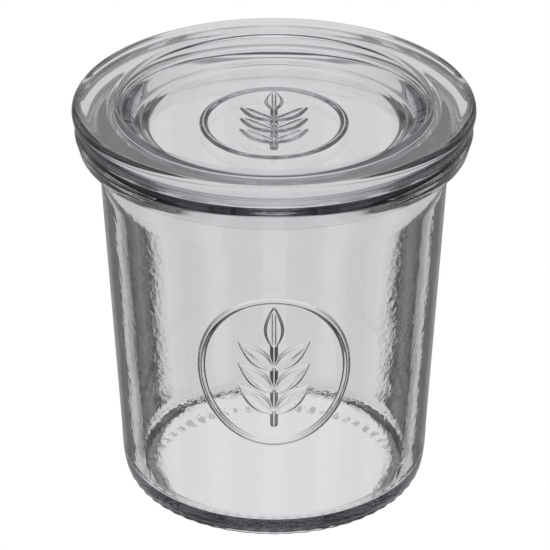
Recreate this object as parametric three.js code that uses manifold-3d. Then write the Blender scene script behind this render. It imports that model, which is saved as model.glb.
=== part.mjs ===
// Small canning jar of clear pressed glass with a loose glass lid, in millimetres.
// +Z is up, the origin is the centre of the foot, and the medallion on the body faces -Y.
import * as THREE from "three";
import { mergeVertices } from "three/addons/utils/BufferGeometryUtils.js";
import Module from "manifold-3d";

// Overall size
const TOTAL_HEIGHT = 72;
const LID_RADIUS = 34.7;

// Jar, outside
const FOOT_OUTER = 25.6; // flat bearing ring
const FOOT_INNER = 24.0;
const PUSH_UP = 0.6; // hollow under the base, at its middle
const PUSH_UP_EDGE = 0.5;
const PUSH_UP_RADIUS = 22.9;
const HEEL_RADIUS = 27.3;
const HEEL_HEIGHT = 7.9;
const HEEL_DRAFT = 0.1;
const BODY_TOP_RADIUS = 30.25;
const BODY_TOP = 62.2;
const FLANGE_BOTTOM = 64;
const FLANGE_BOTTOM_RADIUS = 33.7;
const FLANGE_SEAM = 66.7; // edge round the flange
const FLANGE_SEAM_RADIUS = 34.3;
const FLANGE_TOP_RADIUS = 34;
const FLANGE_TOP = 68.3;
const FLANGE_ROUND = 0.6;

// Jar, inside
const WALL = 2.6;
const INNER_FLOOR = 2.5;
const INNER_FLOOR_RADIUS = 22.6;
const INNER_HEEL = 4.7;
const INNER_SHOULDER = 58;
const NECK_RADIUS = 26.8; // narrow end of the mouth's cone
const NECK_HEIGHT = 63.5;
const MOUTH_RADIUS = 28.3;
const MOUTH_ROUND = 0.8;

// Knurled ring on the heel, which keeps the hot glass off the surface below it
const KNURL_COUNT = 60;
const KNURL_DEPTH = 0.2;
const KNURL_TOP = 1.6;

// Lid
const SEAT_GAP = 0.3;
const LID_SEAT = FLANGE_TOP + SEAT_GAP;
const LID_SEAT_RADIUS = 34.0;
const LID_EDGE_HEIGHT = 70.3;
const LID_CREST_OUTER = 32.6;
const LID_CREST_INNER = 27.6;
const RECESS_RIM_RADIUS = 26.7;
const RECESS_RIM_DROP = 0.8;
const RECESS_RIM_DRAFT = 0.2;
const LEDGE_OUTER = 23.4; // small step at the foot of the recess wall
const LEDGE_INNER = 22.6;
const LEDGE_HEIGHT = 68.1;
const RECESS_RADIUS = 21.4;
const RECESS_FLOOR = 67.4;
const RECESS_FILLET = 0.6;
const PLUG_TOP_RADIUS = 27.4;
const PLUG_RADIUS = 23.2;
const PLUG_DRAFT = 0.8;
const PLUG_BOTTOM = 64.2;

// Medallion: an oval ridge round a sprig of leaves
const MEDALLION_HALF_WIDTH = 12.8;
const MEDALLION_HALF_HEIGHT = 14.2;
const MEDALLION_HEIGHT_ON_BODY = 34.4;
const LID_MEDALLION_SCALE = 0.95;
const RIDGE_RADIUS = 0.5;
const STEM_BOTTOM = -10.5;
const STEM_LENGTH = 15.5;
const LEAF_PAIRS = 3;
const LEAF_PITCH = 4.4;
const LEAF_LENGTH = 8.2;
const LEAF_WIDTH = 3.4;
const LEAF_RELIEF = 0.5;
const LEAF_LEAN = THREE.MathUtils.degToRad(48); // from the stem
const FIRST_LEAF = -8.4;

// Facets
const JAR_SEGMENTS = 2 * KNURL_COUNT;
const LID_SEGMENTS = 76;
const JAR_CURVE_STEPS = 4;
const LID_CURVE_STEPS = 3;
const LEAF_SEGMENTS = 8;
const LEAF_RINGS = 5;
const RIDGE_SEGMENTS = 5;
const OVAL_SEGMENTS = 40;
const STEM_CAP_STEPS = 2;
const MERGE_DISTANCE = 1e-4;

// Glass
const JAR_COLOUR = 0xd9dadd;
const LID_COLOUR = 0xd5d6da;
const GLASS_ROUGHNESS = 0.02;
const GLASS_OPACITY = 0.35;

const wasm = await Module();
wasm.setup();

// A closed geometry as a solid that can be joined to another.
function toSolid(geometry) {
  const bare = geometry.clone().deleteAttribute("normal").deleteAttribute("uv");
  const merged = mergeVertices(bare, MERGE_DISTANCE);
  return new wasm.Manifold(
    new wasm.Mesh({
      numProp: 3,
      vertProperties: merged.attributes.position.array,
      triVerts: new Uint32Array(merged.index.array),
    }),
  );
}

// A joined solid as a geometry again.
function toGeometry(solid) {
  const mesh = solid.getMesh();
  const geometry = new THREE.BufferGeometry();
  geometry.setAttribute("position", new THREE.BufferAttribute(mesh.vertProperties, 3));
  geometry.setIndex(new THREE.BufferAttribute(mesh.triVerts, 1));
  geometry.computeVertexNormals();
  return geometry;
}

// Turns an outline of radius and height round the Z axis.
function turned(outline, segments, curveSteps) {
  return new THREE.LatheGeometry(outline.getPoints(curveSteps), segments).rotateX(Math.PI / 2);
}

// Outer radius of the tapered body at a height.
function bodyRadius(height) {
  const share = (height - HEEL_HEIGHT) / (BODY_TOP - HEEL_HEIGHT);
  return HEEL_RADIUS + share * (BODY_TOP_RADIUS - HEEL_RADIUS);
}

// From the hollow under the base, up the outside, over the mouth and down the inside.
function jarOutline() {
  const outline = new THREE.Path();
  outline.moveTo(0, PUSH_UP);
  outline.lineTo(PUSH_UP_RADIUS, PUSH_UP_EDGE);
  outline.lineTo(FOOT_INNER, 0);
  outline.lineTo(FOOT_OUTER, 0);
  outline.quadraticCurveTo(HEEL_RADIUS - HEEL_DRAFT, 0, HEEL_RADIUS, HEEL_HEIGHT);
  outline.lineTo(BODY_TOP_RADIUS, BODY_TOP);
  outline.quadraticCurveTo(
    BODY_TOP_RADIUS, FLANGE_BOTTOM - FLANGE_ROUND / 2,
    FLANGE_BOTTOM_RADIUS - FLANGE_ROUND, FLANGE_BOTTOM,
  );
  outline.quadraticCurveTo(
    FLANGE_BOTTOM_RADIUS, FLANGE_BOTTOM,
    FLANGE_BOTTOM_RADIUS, FLANGE_BOTTOM + FLANGE_ROUND,
  );
  outline.lineTo(FLANGE_SEAM_RADIUS, FLANGE_SEAM);
  outline.lineTo(FLANGE_TOP_RADIUS, FLANGE_TOP - FLANGE_ROUND);
  outline.quadraticCurveTo(
    FLANGE_TOP_RADIUS, FLANGE_TOP,
    FLANGE_TOP_RADIUS - FLANGE_ROUND, FLANGE_TOP,
  );
  outline.lineTo(MOUTH_RADIUS + MOUTH_ROUND, FLANGE_TOP);
  outline.quadraticCurveTo(MOUTH_RADIUS, FLANGE_TOP, MOUTH_RADIUS, FLANGE_TOP - MOUTH_ROUND);
  outline.lineTo(NECK_RADIUS, NECK_HEIGHT);
  outline.lineTo(bodyRadius(INNER_SHOULDER) - WALL, INNER_SHOULDER);
  outline.lineTo(bodyRadius(INNER_HEEL) - WALL, INNER_HEEL);
  outline.quadraticCurveTo(
    bodyRadius(INNER_FLOOR) - WALL, INNER_FLOOR,
    INNER_FLOOR_RADIUS, INNER_FLOOR,
  );
  outline.lineTo(0, INNER_FLOOR);
  return outline;
}

// Draws in every second column of the heel, so that ridges stand between the grooves.
function knurl(geometry) {
  const position = geometry.attributes.position;
  const point = new THREE.Vector3();
  for (let i = 0; i < position.count; i++) {
    point.fromBufferAttribute(position, i);
    const radius = Math.hypot(point.x, point.y);
    const onHeel = point.z > MERGE_DISTANCE && point.z < KNURL_TOP && radius > FOOT_OUTER;
    const column = Math.round((Math.atan2(point.y, point.x) * JAR_SEGMENTS) / (2 * Math.PI));
    if (!onHeel || column % 2 === 0) continue;
    const share = (radius - KNURL_DEPTH) / radius;
    position.setXYZ(i, point.x * share, point.y * share, point.z);
  }
  return geometry;
}

// From the underside of the plug, out under the seat, over the rim and down into the recess.
function lidOutline() {
  const outline = new THREE.Path();
  outline.moveTo(0, PLUG_BOTTOM);
  outline.lineTo(PLUG_RADIUS, PLUG_BOTTOM);
  outline.quadraticCurveTo(
    PLUG_TOP_RADIUS - PLUG_DRAFT, PLUG_BOTTOM,
    PLUG_TOP_RADIUS, LID_SEAT,
  );
  outline.lineTo(LID_SEAT_RADIUS, LID_SEAT);
  outline.lineTo(LID_RADIUS, LID_EDGE_HEIGHT);
  outline.quadraticCurveTo(LID_RADIUS, TOTAL_HEIGHT, LID_CREST_OUTER, TOTAL_HEIGHT);
  outline.lineTo(LID_CREST_INNER, TOTAL_HEIGHT);
  outline.quadraticCurveTo(
    RECESS_RIM_RADIUS + RECESS_RIM_DRAFT, TOTAL_HEIGHT,
    RECESS_RIM_RADIUS, TOTAL_HEIGHT - RECESS_RIM_DROP,
  );
  outline.lineTo(LEDGE_OUTER + RECESS_FILLET, LEDGE_HEIGHT + RECESS_FILLET);
  outline.quadraticCurveTo(LEDGE_OUTER, LEDGE_HEIGHT, LEDGE_INNER, LEDGE_HEIGHT);
  outline.quadraticCurveTo(
    RECESS_RADIUS + RECESS_FILLET, RECESS_FLOOR,
    RECESS_RADIUS, RECESS_FLOOR,
  );
  outline.lineTo(0, RECESS_FLOOR);
  return outline;
}

// One leaf of the sprig, its base on the stem; side is -1, 0 or 1.
function leaf(side, height) {
  const shape = new THREE.SphereGeometry(1, LEAF_SEGMENTS, LEAF_RINGS);
  shape.scale(LEAF_WIDTH / 2, LEAF_LENGTH / 2, LEAF_RELIEF);
  shape.translate(0, LEAF_LENGTH / 2, 0);
  shape.rotateZ(-side * LEAF_LEAN);
  return shape.translate(0, height, 0);
}

// The medallion's pieces, flat in X and Y, with their middle plane at Z = 0.
function medallion() {
  const stretch = MEDALLION_HALF_HEIGHT / MEDALLION_HALF_WIDTH;
  const oval = new THREE.TorusGeometry(
    MEDALLION_HALF_WIDTH, RIDGE_RADIUS, RIDGE_SEGMENTS, OVAL_SEGMENTS,
  );
  const stem = new THREE.CapsuleGeometry(RIDGE_RADIUS, STEM_LENGTH, STEM_CAP_STEPS, RIDGE_SEGMENTS);
  const pieces = [
    oval.scale(1, stretch, 1),
    stem.translate(0, STEM_BOTTOM + STEM_LENGTH / 2, 0),
  ];
  for (let pair = 0; pair < LEAF_PAIRS; pair++) {
    const height = FIRST_LEAF + pair * LEAF_PITCH;
    pieces.push(leaf(-1, height), leaf(1, height));
  }
  pieces.push(leaf(0, FIRST_LEAF + LEAF_PAIRS * LEAF_PITCH));
  return pieces;
}

// Bends a flat piece onto the front of the body.
function bentOntoBody(geometry) {
  const position = geometry.attributes.position;
  for (let i = 0; i < position.count; i++) {
    const height = MEDALLION_HEIGHT_ON_BODY + position.getY(i);
    const radius = bodyRadius(height);
    const angle = position.getX(i) / radius;
    const reach = radius + position.getZ(i);
    position.setXYZ(i, reach * Math.sin(angle), -reach * Math.cos(angle), height);
  }
  return geometry;
}

// Lays a flat piece on the floor of the lid's recess.
function laidInLid(geometry) {
  const size = LID_MEDALLION_SCALE;
  return geometry.scale(size, size, 1).translate(0, 0, RECESS_FLOOR);
}

// A turned body with the medallion raised on it.
function withMedallion(body, place) {
  const pieces = medallion().map((piece) => toSolid(place(piece)));
  return toGeometry(pieces.reduce((joined, piece) => joined.add(piece), toSolid(body)));
}

function glass(name, geometry, colour) {
  const material = new THREE.MeshStandardMaterial({
    color: colour,
    roughness: GLASS_ROUGHNESS,
    metalness: 0,
    transparent: true,
    opacity: GLASS_OPACITY,
  });
  const mesh = new THREE.Mesh(geometry, material);
  mesh.name = name;
  return mesh;
}

const jarBody = knurl(turned(jarOutline(), JAR_SEGMENTS, JAR_CURVE_STEPS));
const lidBody = turned(lidOutline(), LID_SEGMENTS, LID_CURVE_STEPS);

const canningJar = new THREE.Group();
canningJar.add(glass("jar", withMedallion(jarBody, bentOntoBody), JAR_COLOUR));
canningJar.add(glass("lid", withMedallion(lidBody, laidInLid), LID_COLOUR));

export default canningJar;
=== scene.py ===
"""Small canning jar of clear pressed glass with a loose glass lid, lit as a studio cut-out on white.

The outlines are in millimetres, as radius and height about the jar's axis, and become metres in the meshes.
"""
import math

import bmesh
import bpy
import numpy as np
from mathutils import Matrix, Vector


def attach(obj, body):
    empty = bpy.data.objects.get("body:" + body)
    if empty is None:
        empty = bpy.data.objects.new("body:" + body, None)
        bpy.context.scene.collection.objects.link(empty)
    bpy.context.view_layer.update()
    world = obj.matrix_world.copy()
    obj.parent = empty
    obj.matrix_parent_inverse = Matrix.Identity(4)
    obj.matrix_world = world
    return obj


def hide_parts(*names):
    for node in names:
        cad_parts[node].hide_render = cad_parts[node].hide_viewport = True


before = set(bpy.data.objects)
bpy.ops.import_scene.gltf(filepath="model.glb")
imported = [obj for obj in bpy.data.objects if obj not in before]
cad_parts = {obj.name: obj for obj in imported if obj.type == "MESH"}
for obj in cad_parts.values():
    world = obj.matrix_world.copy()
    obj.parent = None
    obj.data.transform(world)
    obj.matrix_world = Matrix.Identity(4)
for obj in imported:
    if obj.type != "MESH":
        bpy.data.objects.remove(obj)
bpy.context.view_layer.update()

MM = 0.001
TINY = 1e-6
SEED = 7
WHITE = (1, 1, 1, 1)
BLACK = (0, 0, 0, 1)

# Jar, outside
FOOT_OUTER = 25.6
FOOT_INNER = 24.0
FOOT_DRAFT = 0.1
FOOT_ROUND = 0.3
PUSH_UP = 0.6
PUSH_UP_EDGE = 0.5
PUSH_UP_RADIUS = 22.9
PUSH_UP_BEND = 2.0
PUSH_UP_BEND_RISE = 0.02
HEEL_RADIUS = 27.3
HEEL_HEIGHT = 7.9
HEEL_DRAFT = 0.1
BODY_TOP_RADIUS = 30.25
BODY_TOP = 62.2
FLANGE_BOTTOM = 64.0
FLANGE_BOTTOM_RADIUS = 33.7
FLANGE_SEAM = 66.7
FLANGE_SEAM_RADIUS = 34.3
SEAM_BLUNTING = 0.03
SEAM_ROUND = 0.15
FLANGE_TOP_RADIUS = 34.0
FLANGE_TOP = 68.3
FLANGE_ROUND = 0.6

# Jar, inside
WALL = 2.6
INNER_FLOOR = 2.5
INNER_FLOOR_RADIUS = 22.6
INNER_HEEL = 4.7
INNER_SHOULDER = 58.0
NECK_RADIUS = 26.8
NECK_HEIGHT = 63.5
NECK_BEND_IN = 0.4
NECK_BEND_DROP = 1.3
MOUTH_RADIUS = 28.3
MOUTH_ROUND = 0.8

# Ripples in the pressed wall, from a little above the inner floor
RIPPLE_START = 0.5
RIPPLE_DEPTH = 0.005
RIPPLE_SHORTEST = 8.0
RIPPLE_LONGEST = 25.0
RIPPLE_COUNT = 40

# Knurls on the heel
KNURL_COUNT = 60
KNURL_DEPTH = 0.2
KNURL_TOP = 1.6
KNURL_FADE_FROM = 0.75

# Lid
TOTAL_HEIGHT = 72.0
LID_RADIUS = 34.7
SEAT_GAP = 0.3
LID_SEAT = FLANGE_TOP + SEAT_GAP
LID_SEAT_RADIUS = 34.0
SEAT_EDGE_IN = 0.5
SEAT_EDGE_CORNER = 0.1
SEAT_EDGE_OUT = 0.25
SEAT_EDGE_RISE = 0.6
LID_EDGE_HEIGHT = 70.3
LID_EDGE_DRAFT = 0.1
LID_EDGE_ROUND = 0.5
LID_CREST_OUTER = 32.6
LID_CREST_INNER = 27.6
RECESS_RIM_RADIUS = 26.7
RECESS_RIM_DROP = 0.8
RECESS_RIM_DRAFT = 0.2
LEDGE_OUTER = 23.4
LEDGE_INNER = 22.6
LEDGE_HEIGHT = 68.1
LEDGE_ROUND = 0.25
LEDGE_DRAFT = 0.15
LEDGE_DROP = 0.2
RECESS_RADIUS = 21.4
RECESS_FLOOR = 67.4
RECESS_FILLET = 0.6
FLOOR_TOLERANCE = 0.01
PLUG_TOP_RADIUS = 27.4
PLUG_TOP_DRAFT = 0.1
PLUG_TOP_ROUND = 0.4
PLUG_RADIUS = 23.2
PLUG_DRAFT = 0.8
PLUG_BOTTOM = 64.2

# Medallion
MEDALLION_HALF_WIDTH = 12.8
MEDALLION_HALF_HEIGHT = 14.2
MEDALLION_HEIGHT_ON_BODY = 34.4
LID_MEDALLION_SCALE = 0.95
RIDGE_RADIUS = 0.5
RIDGE_SPREAD = 1.5
RELIEF_KEPT = 0.75
STEM_BOTTOM = -10.5
STEM_LENGTH = 15.5
LEAF_PAIRS = 3
LEAF_PITCH = 4.4
LEAF_LENGTH = 8.2
LEAF_WIDTH = 3.4
LEAF_RELIEF = 0.5
LEAF_LEAN = math.radians(48)
LEAF_TAPER = 0.85
LEAF_SHOULDER = 0.55
VEIN_SHARPNESS = 5
VEIN_DEPTH = 0.35
FIRST_LEAF = -8.4

# Mesh density
JAR_COLUMNS = 4 * KNURL_COUNT
RELIEF_CUTS = 4
RELIEF_MARGIN = 1.5
RELIEF_FRONT = -10
LID_COLUMNS = 320
STAGE_SEGMENTS = 64

# Camera, fitted to the photo's outline
IMAGE_SIZE = 550
FOCAL_PIXELS = 3511.9
VIEW_ELEVATION = math.radians(28.524)
VIEW_DISTANCE = 0.61874
TARGET_HEIGHT = 0.036
AXIS_PIXEL = (274.0, 282.8)
SENSOR = 36.0

# Light, as (sine of the elevation, level): in the open directions, and where dark flags stand
OPEN_LEVELS = (
    (-1.0, 0.75), (-0.7, 0.7), (-0.6, 0.78), (-0.22, 0.78), (-0.16, 0.25),
    (-0.08, 0.25), (-0.01, 0.85), (0.6, 0.85), (0.7, 0.7), (0.85, 1.4),
)
FLAG_LEVELS = (
    (-1.0, 0.75), (-0.8, 0.7), (-0.65, 0.02), (-0.1, 0.04), (0.1, 0.3), (0.7, 0.5), (0.85, 1.4),
)
FLAG_COUNT = 8
FLAG_EDGE = 0.25
FLAG_SOFTNESS = 0.25
BAND_COUNT = 24
BAND_EDGES = (-0.3, 0.6)
BAND_LIGHT = 0.15
FRONT_LIGHT = (0.35, 0.35, 0.35, 1)
KEPT_PER_REFLECTION = 0.9
MOST_BOUNCES = 32
GLOSSY_BOUNCES = 16

# Glass
GLASS_IOR = 1.5
TINT_LOW = (0.98, 0.98, 0.985, 1)
TINT_HIGH = (0.99, 0.99, 0.995, 1)
BODY_COLOUR = (0.27, 0.27, 0.36, 1)
BODY_DENSITY = 30.0
POLISH_SCALE = 180.0
POLISH_DETAIL = 3.0
MOST_ROUGHNESS = 0.02
PEEL_SCALE = 900.0
PEEL_DETAIL = 1.0
PEEL_DEPTH = 0.000011
STREAK_SCALE = 700.0
STREAK_TURNS = 3.0
STREAK_BLEND = 1.0

# Floor, in metres
FLOOR_RADIUS = 6.0
FLOOR_DROP = 0.0004

# Ring of soft dashes of painted shade, drawn in the light table under the base, one for each knurl
SHADE_DISC = 30.0
SHADE_DEPTH = 4.0
SHADE_RADIUS = 24.0
SHADE_WIDTH = 1.6
SHADE_CORE = 0.3
SHADE_STRENGTH = 0.5
DASH_EDGES = (-0.5, 0.7)
TABLE_GLOW = 0.12


class Outline:
    """A turned outline of (radius, height) points, from lines and quadratic curves."""

    def __init__(self, radius, height):
        self.points = [(radius, height)]

    def line(self, radius, height, steps):
        start = self.points[-1]
        for i in range(1, steps + 1):
            t = i / steps
            self.points.append((start[0] + t * (radius - start[0]), start[1] + t * (height - start[1])))

    def curve(self, control_radius, control_height, radius, height, steps):
        start = self.points[-1]
        for i in range(1, steps + 1):
            t = i / steps
            weights = (1 - t) ** 2, 2 * t * (1 - t), t * t
            self.points.append(tuple(
                weights[0] * a + weights[1] * b + weights[2] * c
                for a, b, c in zip(start, (control_radius, control_height), (radius, height))
            ))


def body_radius(height):
    share = (height - HEEL_HEIGHT) / (BODY_TOP - HEEL_HEIGHT)
    return HEEL_RADIUS + share * (BODY_TOP_RADIUS - HEEL_RADIUS)


def jar_outline():
    """From under the base, up the outside, over the mouth and down the inside."""
    jar = Outline(0, PUSH_UP)
    jar.line(PUSH_UP_RADIUS - PUSH_UP_BEND, PUSH_UP_EDGE + PUSH_UP_BEND_RISE, steps=4)
    jar.curve(PUSH_UP_RADIUS, PUSH_UP_EDGE, (PUSH_UP_RADIUS + FOOT_INNER) / 2, PUSH_UP_EDGE / 2, steps=4)
    jar.curve(FOOT_INNER - FOOT_DRAFT, 0, FOOT_INNER + FOOT_ROUND, 0, steps=4)
    jar.line(FOOT_OUTER, 0, steps=2)
    jar.curve(HEEL_RADIUS - HEEL_DRAFT, 0, HEEL_RADIUS, HEEL_HEIGHT, steps=32)

    reach = MEDALLION_HALF_HEIGHT + RELIEF_MARGIN
    relief_bottom = MEDALLION_HEIGHT_ON_BODY - reach
    relief_top = MEDALLION_HEIGHT_ON_BODY + reach
    jar.line(body_radius(relief_bottom), relief_bottom, steps=6)
    jar.line(body_radius(relief_top), relief_top, steps=40)
    jar.line(body_radius(BODY_TOP), BODY_TOP, steps=8)

    jar.curve(
        BODY_TOP_RADIUS, FLANGE_BOTTOM - FLANGE_ROUND / 2,
        FLANGE_BOTTOM_RADIUS - FLANGE_ROUND, FLANGE_BOTTOM, steps=10,
    )
    jar.curve(
        FLANGE_BOTTOM_RADIUS, FLANGE_BOTTOM,
        FLANGE_BOTTOM_RADIUS, FLANGE_BOTTOM + FLANGE_ROUND, steps=6,
    )
    jar.line(FLANGE_SEAM_RADIUS - SEAM_BLUNTING, FLANGE_SEAM - SEAM_ROUND, steps=5)
    jar.curve(
        FLANGE_SEAM_RADIUS, FLANGE_SEAM,
        FLANGE_SEAM_RADIUS - SEAM_BLUNTING, FLANGE_SEAM + SEAM_ROUND, steps=4,
    )
    jar.line(FLANGE_TOP_RADIUS, FLANGE_TOP - FLANGE_ROUND, steps=4)
    jar.curve(FLANGE_TOP_RADIUS, FLANGE_TOP, FLANGE_TOP_RADIUS - FLANGE_ROUND, FLANGE_TOP, steps=6)

    jar.line(MOUTH_RADIUS + MOUTH_ROUND, FLANGE_TOP, steps=6)
    jar.curve(MOUTH_RADIUS, FLANGE_TOP, MOUTH_RADIUS, FLANGE_TOP - MOUTH_ROUND, steps=6)
    jar.line(NECK_RADIUS, NECK_HEIGHT, steps=6)
    jar.curve(
        NECK_RADIUS - NECK_BEND_IN, NECK_HEIGHT - NECK_BEND_DROP,
        body_radius(INNER_SHOULDER) - WALL, INNER_SHOULDER, steps=10,
    )
    jar.line(body_radius(INNER_HEEL) - WALL, INNER_HEEL, steps=34)
    jar.curve(body_radius(INNER_FLOOR) - WALL, INNER_FLOOR, INNER_FLOOR_RADIUS, INNER_FLOOR, steps=14)
    jar.line(0, INNER_FLOOR, steps=5)
    return np.array(jar.points)


def lid_outline():
    """From under the plug, out under the seat, over the rim and down into the recess."""
    lid = Outline(0, PLUG_BOTTOM)
    lid.line(PLUG_RADIUS, PLUG_BOTTOM, steps=5)
    lid.curve(
        PLUG_TOP_RADIUS - PLUG_DRAFT, PLUG_BOTTOM,
        PLUG_TOP_RADIUS - PLUG_TOP_DRAFT, LID_SEAT - PLUG_TOP_ROUND, steps=12,
    )
    lid.curve(PLUG_TOP_RADIUS, LID_SEAT, PLUG_TOP_RADIUS + PLUG_TOP_ROUND, LID_SEAT, steps=4)
    lid.line(LID_SEAT_RADIUS - SEAT_EDGE_IN, LID_SEAT, steps=8)
    lid.curve(
        LID_SEAT_RADIUS + SEAT_EDGE_CORNER, LID_SEAT,
        LID_SEAT_RADIUS + SEAT_EDGE_OUT, LID_SEAT + SEAT_EDGE_RISE, steps=6,
    )
    lid.line(LID_RADIUS - LID_EDGE_DRAFT, LID_EDGE_HEIGHT - LID_EDGE_ROUND, steps=3)
    lid.curve(LID_RADIUS, LID_EDGE_HEIGHT, LID_RADIUS, LID_EDGE_HEIGHT, steps=3)
    lid.curve(LID_RADIUS, TOTAL_HEIGHT, LID_CREST_OUTER, TOTAL_HEIGHT, steps=14)
    lid.line(LID_CREST_INNER, TOTAL_HEIGHT, steps=8)
    lid.curve(
        RECESS_RIM_RADIUS + RECESS_RIM_DRAFT, TOTAL_HEIGHT,
        RECESS_RIM_RADIUS, TOTAL_HEIGHT - RECESS_RIM_DROP, steps=10,
    )
    lid.line(LEDGE_OUTER + RECESS_FILLET, LEDGE_HEIGHT + RECESS_FILLET, steps=6)
    lid.curve(LEDGE_OUTER, LEDGE_HEIGHT, LEDGE_INNER + LEDGE_ROUND, LEDGE_HEIGHT, steps=8)
    lid.curve(LEDGE_INNER, LEDGE_HEIGHT, LEDGE_INNER - LEDGE_DRAFT, LEDGE_HEIGHT - LEDGE_DROP, steps=5)
    lid.curve(RECESS_RADIUS + RECESS_FILLET, RECESS_FLOOR, RECESS_RADIUS, RECESS_FLOOR, steps=10)
    lid.line(0, RECESS_FLOOR, steps=100)
    return np.array(lid.points)


def turned_mesh(name, outline, columns):
    """A closed mesh of revolution, with a single point at each end of the outline."""
    rows = outline[1:-1]
    angles = np.arange(columns) * 2 * math.pi / columns
    ring = np.stack([np.sin(angles), -np.cos(angles)], axis=1)
    xy = rows[:, None, 0:1] * ring[None]
    z = np.broadcast_to(rows[:, None, 1:2], (len(rows), columns, 1))
    grid = np.concatenate([xy, z], axis=2).reshape(-1, 3)
    ends = np.array([[0, 0, outline[0, 1]], [0, 0, outline[-1, 1]]])
    index = np.arange(len(rows) * columns).reshape(len(rows), columns)
    after = np.roll(index, -1, axis=1)
    quads = np.stack([index[:-1], after[:-1], after[1:], index[1:]], axis=2).reshape(-1, 4)
    first, last = len(grid), len(grid) + 1
    fans = [(first, b, a) for a, b in zip(index[0], after[0])]
    fans += [(last, a, b) for a, b in zip(index[-1], after[-1])]
    mesh = bpy.data.meshes.new(name)
    mesh.from_pydata(np.concatenate([grid, ends]).tolist(), [], quads.tolist() + fans)
    return mesh


def refine(mesh, inside):
    """Splits the edges whose two ends lie inside, for the fine relief."""
    bm = bmesh.new()
    bm.from_mesh(mesh)
    chosen = {v for v in bm.verts if inside(v.co)}
    edges = [e for e in bm.edges if e.verts[0] in chosen and e.verts[1] in chosen]
    bmesh.ops.subdivide_edges(bm, edges=edges, cuts=RELIEF_CUTS, use_grid_fill=True)
    bm.to_mesh(mesh)
    bm.free()


def smooth_step(low, high, value):
    t = np.clip((value - low) / (high - low), 0, 1)
    return t * t * (3 - 2 * t)


def ridge(distance):
    """A rounded ridge whose foot runs out smoothly, at a distance from its middle line."""
    t = np.clip(1 - np.abs(distance) / (RIDGE_SPREAD * RIDGE_RADIUS), 0, 1)
    return RIDGE_RADIUS * t * t * (3 - 2 * t)


def leaf_relief(right, above, side, base):
    """A leaf that leans to one side, or stands upright for side 0, with a vein along its middle."""
    turn = side * LEAF_LEAN
    along = (right * math.sin(turn) + (above - base) * math.cos(turn)) / LEAF_LENGTH
    across = (right * math.cos(turn) - (above - base) * math.sin(turn)) / (LEAF_WIDTH / 2)
    half = np.sin(math.pi * np.clip(along, 0, 1) ** LEAF_TAPER)
    room = 1 - (across / np.maximum(half, TINY)) ** 2
    pad = np.where((along > 0) & (along < 1), np.clip(room, 0, 1), 0)
    vein = np.exp(-(across * VEIN_SHARPNESS) ** 2) * VEIN_DEPTH
    return LEAF_RELIEF * smooth_step(0, LEAF_SHOULDER, pad) * (1 - vein)


def medallion_relief(right, above):
    """Height of the medallion over the plain surface, at places right of and above its middle."""
    size = np.hypot(right / MEDALLION_HALF_WIDTH, above / MEDALLION_HALF_HEIGHT)
    relief = ridge((size - 1) * MEDALLION_HALF_WIDTH)
    off_stem = np.hypot(right, above - np.clip(above, STEM_BOTTOM, STEM_BOTTOM + STEM_LENGTH))
    relief = np.maximum(relief, ridge(off_stem))
    for pair in range(LEAF_PAIRS):
        base = FIRST_LEAF + pair * LEAF_PITCH
        for side in (-1, 1):
            relief = np.maximum(relief, leaf_relief(right, above, side, base))
    top_leaf = leaf_relief(right, above, 0, FIRST_LEAF + LEAF_PAIRS * LEAF_PITCH)
    return RELIEF_KEPT * np.maximum(relief, top_leaf)


def ripples(angle, height):
    """Sum of seeded waves that closes round the axis, with a spread of about one."""
    draw = np.random.default_rng(SEED)
    total = np.zeros_like(angle)
    for _ in range(RIPPLE_COUNT):
        wavelength = math.exp(draw.uniform(math.log(RIPPLE_SHORTEST), math.log(RIPPLE_LONGEST)))
        heading = draw.uniform(0, 2 * math.pi)
        turns = round(2 * math.pi * BODY_TOP_RADIUS / wavelength * math.cos(heading))
        rise = 2 * math.pi / wavelength * math.sin(heading)
        total += np.cos(turns * angle + rise * height + draw.uniform(0, 2 * math.pi))
    return total * math.sqrt(2 / RIPPLE_COUNT)


def coordinates(mesh):
    flat = np.empty(len(mesh.vertices) * 3)
    mesh.vertices.foreach_get("co", flat)
    return flat.reshape(-1, 3)


def finish_mesh(mesh, points):
    mesh.vertices.foreach_set("co", (points * MM).ravel())
    mesh.polygons.foreach_set("use_smooth", np.ones(len(mesh.polygons), dtype=bool))
    mesh.update()
    mesh.validate()


def near_medallion(place):
    """Whether a point of the plain jar is on the outside, close to the medallion."""
    plain = body_radius(place.z)
    if place.y > RELIEF_FRONT or math.hypot(place.x, place.y) < plain - WALL / 2:
        return False
    right = math.atan2(place.x, -place.y) * plain
    above = place.z - MEDALLION_HEIGHT_ON_BODY
    if abs(right) >= MEDALLION_HALF_WIDTH + RELIEF_MARGIN:
        return False
    return abs(above) < MEDALLION_HALF_HEIGHT + RELIEF_MARGIN


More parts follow.
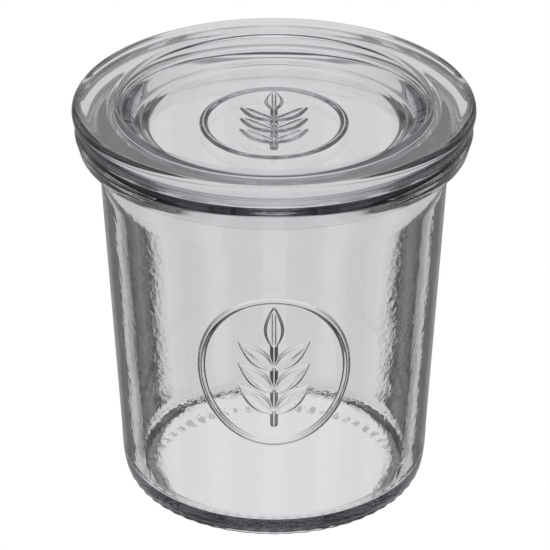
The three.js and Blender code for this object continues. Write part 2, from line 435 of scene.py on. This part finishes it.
def make_jar():
    mesh = turned_mesh("jar_glass", jar_outline(), JAR_COLUMNS)
    refine(mesh, near_medallion)
    points = coordinates(mesh)
    radius = np.hypot(points[:, 0], points[:, 1])
    angle = np.arctan2(points[:, 0], -points[:, 1])
    height = points[:, 2]
    plain = body_radius(height)

    on_body = (radius > plain - WALL / 2) & (height > HEEL_HEIGHT) & (height < BODY_TOP)
    relief = medallion_relief(angle * plain, height - MEDALLION_HEIGHT_ON_BODY)
    moved = np.where(on_body, relief, 0)

    on_heel = (height < KNURL_TOP) & (radius > FOOT_OUTER)
    groove = 0.5 - 0.5 * np.cos(KNURL_COUNT * angle)
    fade = 1 - smooth_step(KNURL_FADE_FROM * KNURL_TOP, KNURL_TOP, height)
    moved -= np.where(on_heel, KNURL_DEPTH * groove * fade, 0)

    ripple_bottom = INNER_FLOOR + RIPPLE_START
    inside = (radius < plain - WALL / 2) & (height > ripple_bottom) & (height < FLANGE_BOTTOM)
    ripple = RIPPLE_DEPTH * ripples(angle, height) * smooth_step(ripple_bottom, INNER_HEEL, height)
    moved += np.where(inside, ripple, 0)

    grow = 1 + moved / np.maximum(radius, TINY)
    points[:, 0] *= grow
    points[:, 1] *= grow
    finish_mesh(mesh, points)
    return bpy.data.objects.new("jar_glass", mesh)


def make_lid():
    mesh = turned_mesh("lid_glass", lid_outline(), LID_COLUMNS)
    points = coordinates(mesh)
    radius = np.hypot(points[:, 0], points[:, 1])
    on_floor = (points[:, 2] > RECESS_FLOOR - FLOOR_TOLERANCE) & (radius < RECESS_RADIUS)
    relief = medallion_relief(points[:, 0] / LID_MEDALLION_SCALE, points[:, 1] / LID_MEDALLION_SCALE)
    points[:, 2] += np.where(on_floor, relief, 0)
    finish_mesh(mesh, points)
    return bpy.data.objects.new("lid_glass", mesh)


def connect(tree, socket, value):
    """Sets a node's input to a number or colour, or links it to the output of another node."""
    if isinstance(value, bpy.types.NodeSocket):
        tree.links.new(value, socket)
    else:
        socket.default_value = value


def add_node(tree, kind, **inputs):
    node = tree.nodes.new("ShaderNode" + kind)
    for name, value in inputs.items():
        connect(tree, node.inputs[name], value)
    return node


def calculate(tree, operation, *values):
    """The outcome of a math node, whose values are numbers or outcomes of other nodes."""
    node = add_node(tree, "Math")
    node.operation = operation
    for socket, value in zip(node.inputs, values):
        connect(tree, socket, value)
    return node.outputs["Value"]


def blend(tree, share, first, second):
    return add_node(tree, "MixRGB", Fac=share, Color1=first, Color2=second).outputs["Color"]


def step(tree, value, low, high):
    """Rises smoothly from 0 to 1 as the value goes from low to high."""
    node = add_node(tree, "MapRange", Value=value)
    node.interpolation_type = "SMOOTHSTEP"
    node.inputs["From Min"].default_value = low
    node.inputs["From Max"].default_value = high
    return node.outputs["Result"]


def grey_ramp(tree, share, stops):
    """A grey that follows the (place, value) stops as the share goes from 0 to 1."""
    ramp = add_node(tree, "ValToRGB", Fac=share)
    for i, (place, value) in enumerate(stops):
        stop = ramp.color_ramp.elements[i] if i < 2 else ramp.color_ramp.elements.new(place)
        stop.position = place
        stop.color = (value, value, value, 1)
    return ramp.outputs["Color"]


def place_parts(tree, kind):
    """X, Y and Z of the kind of coordinates named."""
    coords = add_node(tree, "TexCoord")
    split = add_node(tree, "SeparateXYZ", Vector=coords.outputs[kind])
    return [split.outputs[axis] for axis in "XYZ"]


def axis_distance(tree, x, y):
    squares = [calculate(tree, "MULTIPLY", side, side) for side in (x, y)]
    return calculate(tree, "SQRT", calculate(tree, "ADD", *squares))


def wave_round(tree, x, y, count):
    """A cosine with a count of waves in a turn about the vertical."""
    angle = calculate(tree, "ARCTAN2", x, y)
    return calculate(tree, "COSINE", calculate(tree, "MULTIPLY", angle, count))


def streaks(tree, x, y, z):
    """Noise drawn out round the axis, as the rims of pressed glass show it."""
    radius = axis_distance(tree, x, y)
    place = add_node(tree, "CombineXYZ")
    for name, side in (("X", x), ("Y", y)):
        share = calculate(tree, "DIVIDE", side, radius)
        connect(tree, place.inputs[name], calculate(tree, "MULTIPLY", share, STREAK_TURNS))
    connect(tree, place.inputs["Z"], calculate(tree, "MULTIPLY", radius, STREAK_SCALE))
    noise = add_node(tree, "TexNoise", Scale=1.0, Detail=0.0)
    noise.noise_dimensions = "4D"
    connect(tree, noise.inputs["Vector"], place.outputs["Vector"])
    connect(tree, noise.inputs["W"], calculate(tree, "MULTIPLY", z, STREAK_SCALE))
    return noise.outputs["Fac"]


def glass_material(name):
    """Clear pressed glass: uneven polish, fine orange peel that runs round the rims, and a grey body tint."""
    material = bpy.data.materials.new(name)
    material.use_nodes = True
    tree = material.node_tree
    shader = tree.nodes["Principled BSDF"]
    shader.inputs["Transmission Weight"].default_value = 1.0
    shader.inputs["IOR"].default_value = GLASS_IOR
    place = add_node(tree, "TexCoord").outputs["Object"]

    polish = add_node(tree, "TexNoise", Vector=place, Scale=POLISH_SCALE, Detail=POLISH_DETAIL)
    rough = add_node(tree, "MapRange", Value=polish.outputs["Fac"])
    rough.inputs["To Max"].default_value = MOST_ROUGHNESS
    connect(tree, shader.inputs["Roughness"], rough.outputs["Result"])
    tint = blend(tree, polish.outputs["Fac"], TINT_LOW, TINT_HIGH)
    connect(tree, shader.inputs["Base Color"], tint)

    peel = add_node(tree, "TexNoise", Vector=place, Scale=PEEL_SCALE, Detail=PEEL_DETAIL)
    x, y, z = place_parts(tree, "Object")
    on_rim = step(tree, z, (BODY_TOP - STREAK_BLEND) * MM, FLANGE_BOTTOM * MM)
    uneven = blend(tree, on_rim, peel.outputs["Fac"], streaks(tree, x, y, z))
    bump = add_node(tree, "Bump", Strength=1.0, Distance=PEEL_DEPTH, Height=uneven)
    connect(tree, shader.inputs["Normal"], bump.outputs["Normal"])

    body = add_node(tree, "VolumeAbsorption", Color=BODY_COLOUR, Density=BODY_DENSITY)
    connect(tree, tree.nodes["Material Output"].inputs["Volume"], body.outputs["Volume"])
    return material


def stage_disc(name, radius, height):
    """A flat disc, in metres, that throws no shade, with the empty node tree of its material."""
    mesh = bpy.data.meshes.new(name)
    bm = bmesh.new()
    bmesh.ops.create_circle(bm, cap_ends=True, segments=STAGE_SEGMENTS, radius=radius)
    bm.to_mesh(mesh)
    bm.free()
    disc = bpy.data.objects.new(name, mesh)
    disc.location.z = height
    disc.visible_diffuse = False
    disc.visible_shadow = False
    material = bpy.data.materials.new(name)
    material.use_nodes = True
    tree = material.node_tree
    tree.nodes.remove(tree.nodes["Principled BSDF"])
    mesh.materials.append(material)
    return disc, tree


def make_floor():
    """A plain white floor. The glass is lit through it, as on a light table."""
    floor, tree = stage_disc("floor", FLOOR_RADIUS, -FLOOR_DROP)
    floor.visible_transmission = False
    floor.visible_glossy = False
    glow = add_node(tree, "Emission")
    connect(tree, tree.nodes["Material Output"].inputs["Surface"], glow.outputs["Emission"])
    return floor


def make_shade():
    """A ring of soft dashes of painted shade drawn under the base, and a faint glow, seen through the glass
    alone.
    """
    shade, tree = stage_disc("knurl_shade", SHADE_DISC * MM, -SHADE_DEPTH * MM)
    shade.visible_camera = False
    x, y, _ = place_parts(tree, "Object")
    off_ring = calculate(tree, "SUBTRACT", axis_distance(tree, x, y), SHADE_RADIUS * MM)
    distance = calculate(tree, "ABSOLUTE", off_ring)
    ring = step(tree, distance, SHADE_WIDTH * MM, SHADE_CORE * SHADE_WIDTH * MM)
    dash = step(tree, wave_round(tree, x, y, KNURL_COUNT), *DASH_EDGES)
    # Painted shade: the dashes darken the light that the glass sees through this disc
    depth = calculate(tree, "MULTIPLY", calculate(tree, "MULTIPLY", ring, dash), SHADE_STRENGTH)
    clear = add_node(tree, "BsdfTransparent", Color=blend(tree, depth, WHITE, BLACK))
    glow = add_node(tree, "Emission", Strength=TABLE_GLOW)
    both = add_node(tree, "AddShader")
    connect(tree, both.inputs[0], clear.outputs["BSDF"])
    connect(tree, both.inputs[1], glow.outputs["Emission"])
    connect(tree, tree.nodes["Material Output"].inputs["Surface"], both.outputs["Shader"])
    return shade


def make_world():
    """White to look at. As light: a light table below, a soft box overhead, and dark flags round the jar.

    The front of the glass mirrors an even grey from below, and each reflection inside the glass costs light.
    """
    world = bpy.data.worlds.new("studio")
    world.use_nodes = True
    tree = world.node_tree
    x, y, z = place_parts(tree, "Generated")
    flags = step(
        tree, wave_round(tree, x, y, FLAG_COUNT), FLAG_EDGE + FLAG_SOFTNESS, FLAG_EDGE - FLAG_SOFTNESS,
    )
    bands = step(tree, wave_round(tree, x, y, BAND_COUNT), *BAND_EDGES)
    kept = calculate(tree, "MULTIPLY_ADD", bands, -BAND_LIGHT, 1.0)
    rise = calculate(tree, "MULTIPLY_ADD", z, 0.5, 0.5)
    levels = [
        grey_ramp(tree, rise, [((sine + 1) / 2, level) for sine, level in stops])
        for stops in (OPEN_LEVELS, FLAG_LEVELS)
    ]
    light = blend(tree, calculate(tree, "MULTIPLY", flags, kept), *levels)

    path = add_node(tree, "LightPath")
    inside = calculate(tree, "MINIMUM", path.outputs["Transmission Depth"], 1.0)
    outside = calculate(tree, "SUBTRACT", 1.0, inside)
    below = calculate(tree, "LESS_THAN", z, 0.0)
    light = blend(tree, calculate(tree, "MULTIPLY", outside, below), light, FRONT_LIGHT)
    reflections = calculate(tree, "MULTIPLY", path.outputs["Glossy Depth"], inside)
    left = calculate(tree, "POWER", KEPT_PER_REFLECTION, reflections)
    light = blend(tree, left, BLACK, light)
    seen = blend(tree, path.outputs["Is Camera Ray"], light, WHITE)
    connect(tree, tree.nodes["Background"].inputs["Color"], seen)
    return world


def make_camera():
    camera = bpy.data.objects.new("camera", bpy.data.cameras.new("camera"))
    camera.data.sensor_width = SENSOR
    camera.data.lens = FOCAL_PIXELS / IMAGE_SIZE * SENSOR
    camera.data.shift_x = (IMAGE_SIZE / 2 - AXIS_PIXEL[0]) / IMAGE_SIZE
    camera.data.shift_y = (AXIS_PIXEL[1] - IMAGE_SIZE / 2) / IMAGE_SIZE
    back = Vector((0, -math.cos(VIEW_ELEVATION), math.sin(VIEW_ELEVATION)))
    camera.location = Vector((0, 0, TARGET_HEIGHT)) + back * VIEW_DISTANCE
    camera.rotation_euler = (math.pi / 2 - VIEW_ELEVATION, 0, 0)
    return camera


scene = bpy.context.scene
scene.view_settings.view_transform = "Standard"
scene.cycles.max_bounces = MOST_BOUNCES
scene.cycles.transmission_bounces = MOST_BOUNCES
scene.cycles.glossy_bounces = GLOSSY_BOUNCES
scene.world = make_world()

camera = make_camera()
scene.collection.objects.link(camera)
scene.camera = camera

for stage in (make_floor(), make_shade()):
    scene.collection.objects.link(stage)

for piece, node, slot in ((make_jar(), "jar", "jar_glass"), (make_lid(), "lid", "lid_glass")):
    scene.collection.objects.link(piece)
    piece.data.materials.append(glass_material(slot))
    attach(piece, "root")
    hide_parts(node)
